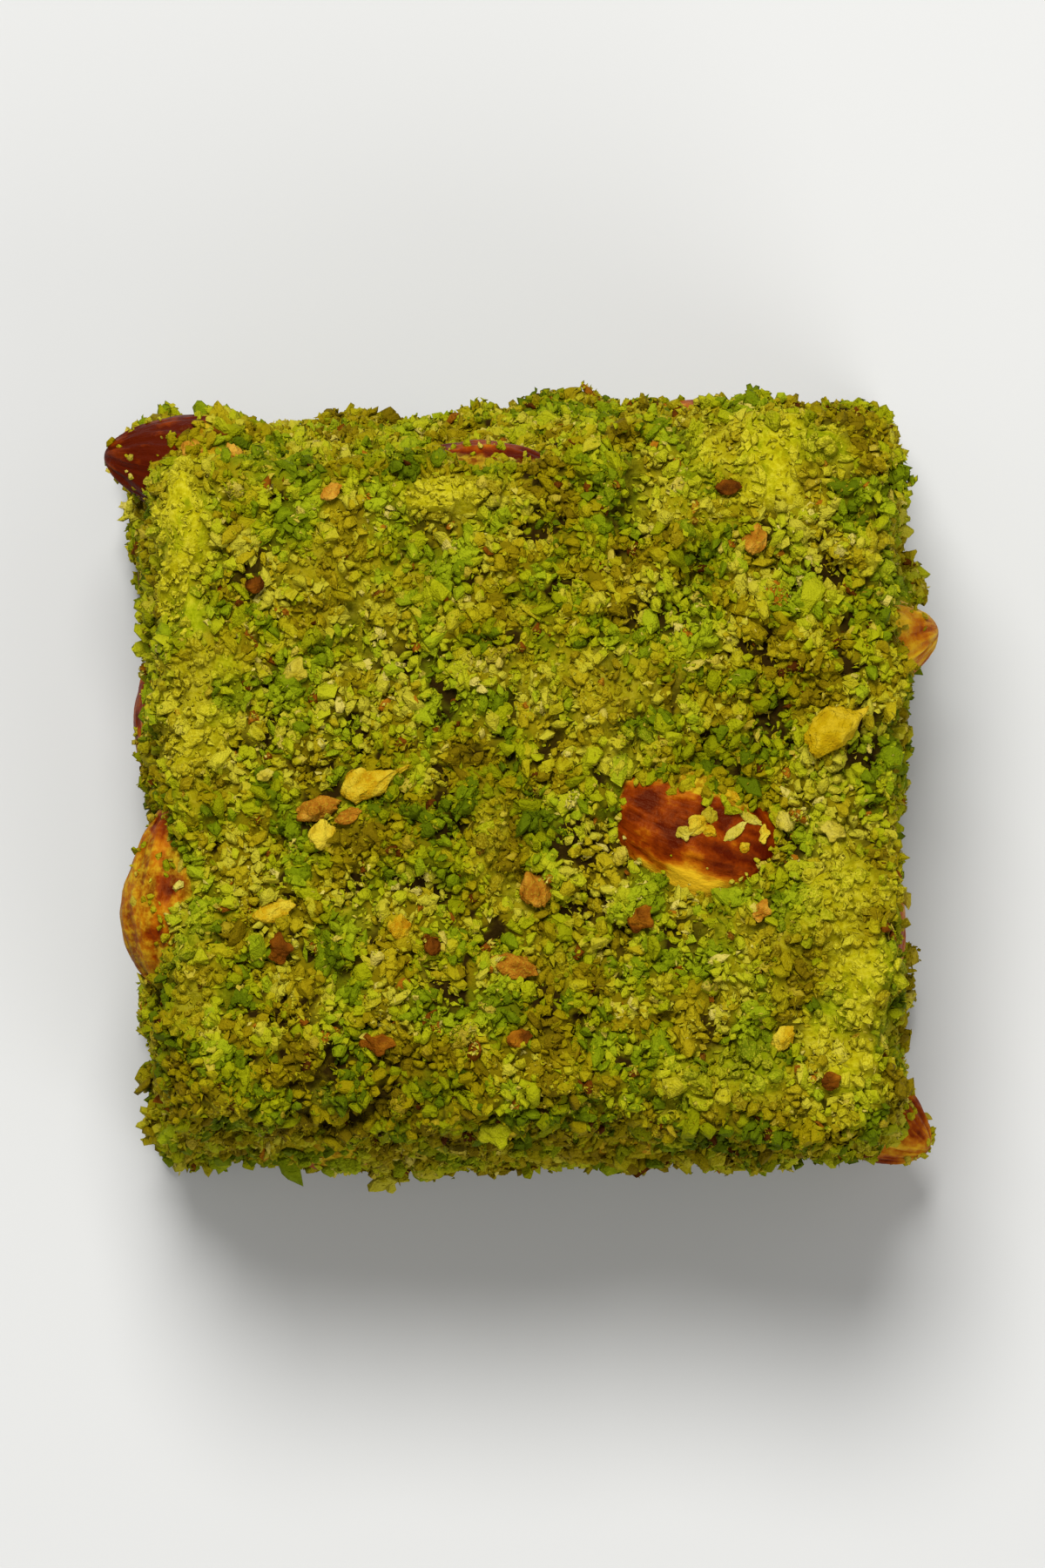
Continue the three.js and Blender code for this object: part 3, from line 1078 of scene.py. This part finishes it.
def crumbFinish(name, tone, mottle=crumbLook["mottle"], mottling=crumbLook["mottling"]):
    known = bpy.data.materials.get(name)
    if known:
        return known
    finish, place, shader = newFinish(
        name, Specular_IOR_Level=crumbLook["shine"], Roughness=crumbLook["roughness"]
    )
    tint = place.painted("tint")
    dust = place.painted("dust")
    fleck = place.spots(mottle, 3)
    film = place.spots(crumbLook["film"])
    own = (tint + mottling * (fleck - 0.5)).ramp(*zip(crumbLook["stops"], tones[tone]))
    powdered = film.between(*crumbLook["filmEdge"]).blend(*coat["powder"][1:])
    dusty = crumbLook["dustShare"] * dust + crumbLook["filmShare"] * (film - 0.5)
    feed(
        shader,
        Base_Color=dusty.between(*crumbLook["dustEdge"]).blend(own, powdered),
        Normal=(film + fleck).bump(crumbLook["relief"]),
    )
    return finish


def byTone(points, rng, parts):  # which tone each grain has: like grains lie near each other
    names = [name for name in parts if name not in anywhere]
    rank = drift["tonePull"] * toneAt(points) + drift["toneScatter"] * rng.normal(size=len(points))
    place = np.argsort(np.argsort(rank)) / len(points)
    bounds = np.cumsum([parts[name] for name in names])
    which = np.searchsorted(bounds / bounds[-1], place, side="right")
    chosen = np.array(names)[np.minimum(which, len(names) - 1)]
    for name in anywhere:
        chosen[rng.random(len(points)) < parts.get(name, 0)] = name
    return chosen


def modelShapes(grade):
    model = grains[grade]
    return [
        modelGrain(number, model["start"], model["push"], model["cuts"])
        for number in range(model["shapes"])
    ]


def strew(grade, spots):
    settings = scatter[grade]
    rng = np.random.default_rng(scatter["seeds"][grade])
    shapes = modelShapes(grade)
    points, normals = spots(rng, scatter["tries"] * settings["count"], grade)
    size = settings["median"] * np.exp(settings["spread"] * rng.normal(size=len(points)))
    size = np.minimum(size, scatter["largest"])
    kept = rng.permutation(np.flatnonzero(points[:, 2] > scatter["offFloor"] * size))
    chosen = kept[: settings["count"]]
    points, normals, size = points[chosen], normals[chosen], size[chosen]
    lift = rng.uniform(-settings["sunk"], settings["proud"], len(points)) * size
    at = points + normals * lift[:, None]
    tint = 0.5 + drift["tintScatter"] * rng.normal(size=len(at))
    tint += drift["tintPull"] * noiseAt(at, drift["tints"], noiseSeeds["tints"])
    tint += drift["shadePull"] * noiseAt(at, drift["shades"], noiseSeeds["shades"])
    # the listed patches add painted shade, and crumbs in the pits are painted darker as shade
    tint += lightnessAndPaintedShadeAt(at) - pits["darker"] * pitAt(at)
    dust = powderAt(at)
    sizes = np.stack([rng.uniform(*spread, len(at)) for spread in flatness.values()], 1) * size[:, None]
    kinds = rng.integers(len(shapes), size=len(at))
    turns = randomTurns(rng, len(at))
    which = byTone(at, rng, shares[grade])
    made = []
    for name in shares[grade]:
        mine = which == name
        made.append(
            joinGrains(
                f"{grade}_{name}",
                shapes,
                kinds[mine],
                turns[mine],
                sizes[mine],
                at[mine],
                tint[mine],
                dust[mine],
                crumbFinish("crumb_" + name, name),
            )
        )
    return made


def onBlock(rng, count, grade):  # on the jelly block, clear of the nuts
    points, normals = spotsOn(jellyBlock, rng, count)
    kept = rng.random(len(points)) < coverage(points, normals, grade)
    kept &= riseAbove(nutTree, points, scatter["search"]) > scatter["offNuts"]
    kept &= ~underChip(points)
    return points[kept], normals[kept]


def onCrumbs(rng, count, grade):  # on the outer sides of the larger crumbs
    share = count // len(largerCrumbs) + 1
    pairs = [spotsOn(piece, rng, share) for piece in largerCrumbs]
    points = np.concatenate([pair[0] for pair in pairs])
    normals = np.concatenate([pair[1] for pair in pairs])
    order = rng.permutation(len(points))
    points, normals = points[order], normals[order]
    out = points - np.array([np.array(jellyTree.find_nearest(Vector(point))[0]) for point in points])
    kept = (out * normals).sum(1) > scatter["outward"] * np.linalg.norm(out, axis=1)
    kept &= riseAbove(jellyTree, points, scatter["search"]) > scatter["offJelly"]
    return points[kept], normals[kept]


nutCrumbs = {
    "rimFrom": 0.1 * mm,
    "rim": 0.7 * mm,  # how far crumbs lie on a nut from the coating
    "rims": {
        "kernel_left_front": 1.1 * mm,
        "kernel_left_back": 1.1 * mm,
        "kernel_front_left": 1.5 * mm,
        "kernel_front_right": 1.5 * mm,
    },
    "onRim": 0.9,
    "patches": 1.3 * mm,
    "patchTo": 0.4,
    "inPatches": 3,  # how thickly, next to the nut's own share
    "deepest": 0.3 * mm,
}


def onNuts(rng, count, grade):  # stuck to the nuts, most of all along the rim of the coating
    spots = []
    for node, piece in nuts.items():
        points, normals = spotsOn(piece, rng, count // len(nuts))
        rises = clearOf(jellyTree, points, normals, scatter["search"])
        reach = nutCrumbs["rims"].get(node, nutCrumbs["rim"])
        rim = 1 - smooth(rises, nutCrumbs["rimFrom"], reach)
        patches = noiseAt(points, nutCrumbs["patches"], noiseSeeds["nutPatches"])
        patchy = smooth(patches, 0, nutCrumbs["patchTo"])
        stuck = nut["stuck"].get(node, nut["usuallyStuck"])
        chance = np.maximum(nutCrumbs["onRim"] * rim, stuck * nutCrumbs["inPatches"] * patchy)
        if grade == "cover":
            chance = np.sqrt(sideShare("covered", node, points, pointsOf(piece.data).mean(0)))
        kept = (rng.random(len(points)) < chance) & (rises > -nutCrumbs["deepest"])
        spots.append((points[kept], normals[kept]))
    return np.concatenate([spot[0] for spot in spots]), np.concatenate([spot[1] for spot in spots])


largerCrumbs = strew("coarse", onBlock) + strew("middling", onBlock)
strew("fine", onBlock)
strew("dusting", onCrumbs)
strew("stuck", onNuts)
strew("cover", onNuts)
print("crumbs done")


# The chips

def modelChip(number):
    rng = np.random.default_rng(chipShape["firstSeed"] + number)
    bpy.ops.object.select_all(action="DESELECT")
    bpy.ops.mesh.primitive_ico_sphere_add(subdivisions=3, radius=chipShape["radius"])
    chip = bpy.context.object
    bpy.ops.object.mode_set(mode="EDIT")
    for _ in range(chipShape["cuts"]):
        cutOff(Vector(rng.normal(size=3)).normalized(), rng.uniform(*chipShape["cutAt"]))
    bpy.ops.object.mode_set(mode="OBJECT")
    applyModifier(chip, "REMESH", mode="VOXEL", voxel_size=chipShape["voxel"])
    applyModifier(chip, "SMOOTH", **chipShape["smoothing"])
    mesh = chip.data
    apart, deep = chipShape["crags"]
    closer, lower = chipShape["fineCrags"]
    points = pointsOf(mesh)
    crags = noiseAt(points, apart, number)
    crags += lower * noiseAt(points, closer * apart, number)
    points += normalsOf(mesh) * deep * crags[:, None]
    points[:, 1:] *= 1 - rng.uniform(*chipShape["taper"]) * smooth(points[:, :1], 0, chipShape["end"])
    faces = trianglesOf(mesh)
    bpy.data.objects.remove(chip)
    return points, faces, np.zeros(len(faces), bool)


def heightAt(spot):  # of the upper face there, or of a nut's skin
    above = Vector((spot.x, spot.y, chipShape["dropFrom"]))
    down = Vector((0, 0, -1))
    onJelly, onNut = jellyTree.ray_cast(above, down)[0], nutTree.ray_cast(above, down)[0]
    if onNut and onNut.z > onJelly.z - nut["swell"]:
        return onNut.z + nut["swell"]
    return onJelly.z + chipShape["bed"]


def layChips():
    rng = np.random.default_rng(chipShape["seed"])
    shapes = [modelChip(number) for number in chipShape["numbers"]]
    steepest = math.radians(chipShape["pitch"])
    for name in ("gold", "straw", "orange", "pale", "skin", "green", "lime"):
        turns, sizes, at, kinds = [], [], [], []
        for (x, y), (length, breadth), heading, chipTone, shape in chips:
            if chipTone != name:
                continue
            middle = Vector((x * mm, y * mm, 0)) + blockMiddle
            turn = math.radians(heading)
            reach = chipShape["rests"] * length * mm * Vector((math.cos(turn), math.sin(turn), 0))
            ends = [heightAt(middle - reach), heightAt(middle + reach)]
            pitch = math.atan2(ends[1] - ends[0], 2 * reach.length)
            pitch = max(-steepest, min(steepest, pitch))
            roll = math.radians(rng.uniform(-chipShape["roll"], chipShape["roll"]))
            turns.append(np.array(Euler((roll, -pitch, turn)).to_matrix()))
            thickness = min(chipShape["thickness"] * breadth * mm, chipShape["thickest"])
            sizes.append((length * mm, breadth * mm, thickness))
            at.append((middle.x, middle.y, max(sum(ends) / 2, heightAt(middle))))
            kinds.append(chipShape["numbers"].index(shape))
        joinGrains(
            "chips_" + name,
            shapes,
            np.array(kinds),
            np.array(turns),
            np.array(sizes),
            np.array(at),
            0.5 + chipShape["tintScatter"] * rng.normal(size=len(at)),
            np.full(len(at), chipShape["dust"].get(name, chipShape["usualDust"])),
            crumbFinish("chip_" + name, name, crumbLook["mottleOnChips"], crumbLook["mottlingOnChips"]),
        )


layChips()
print("chips done")
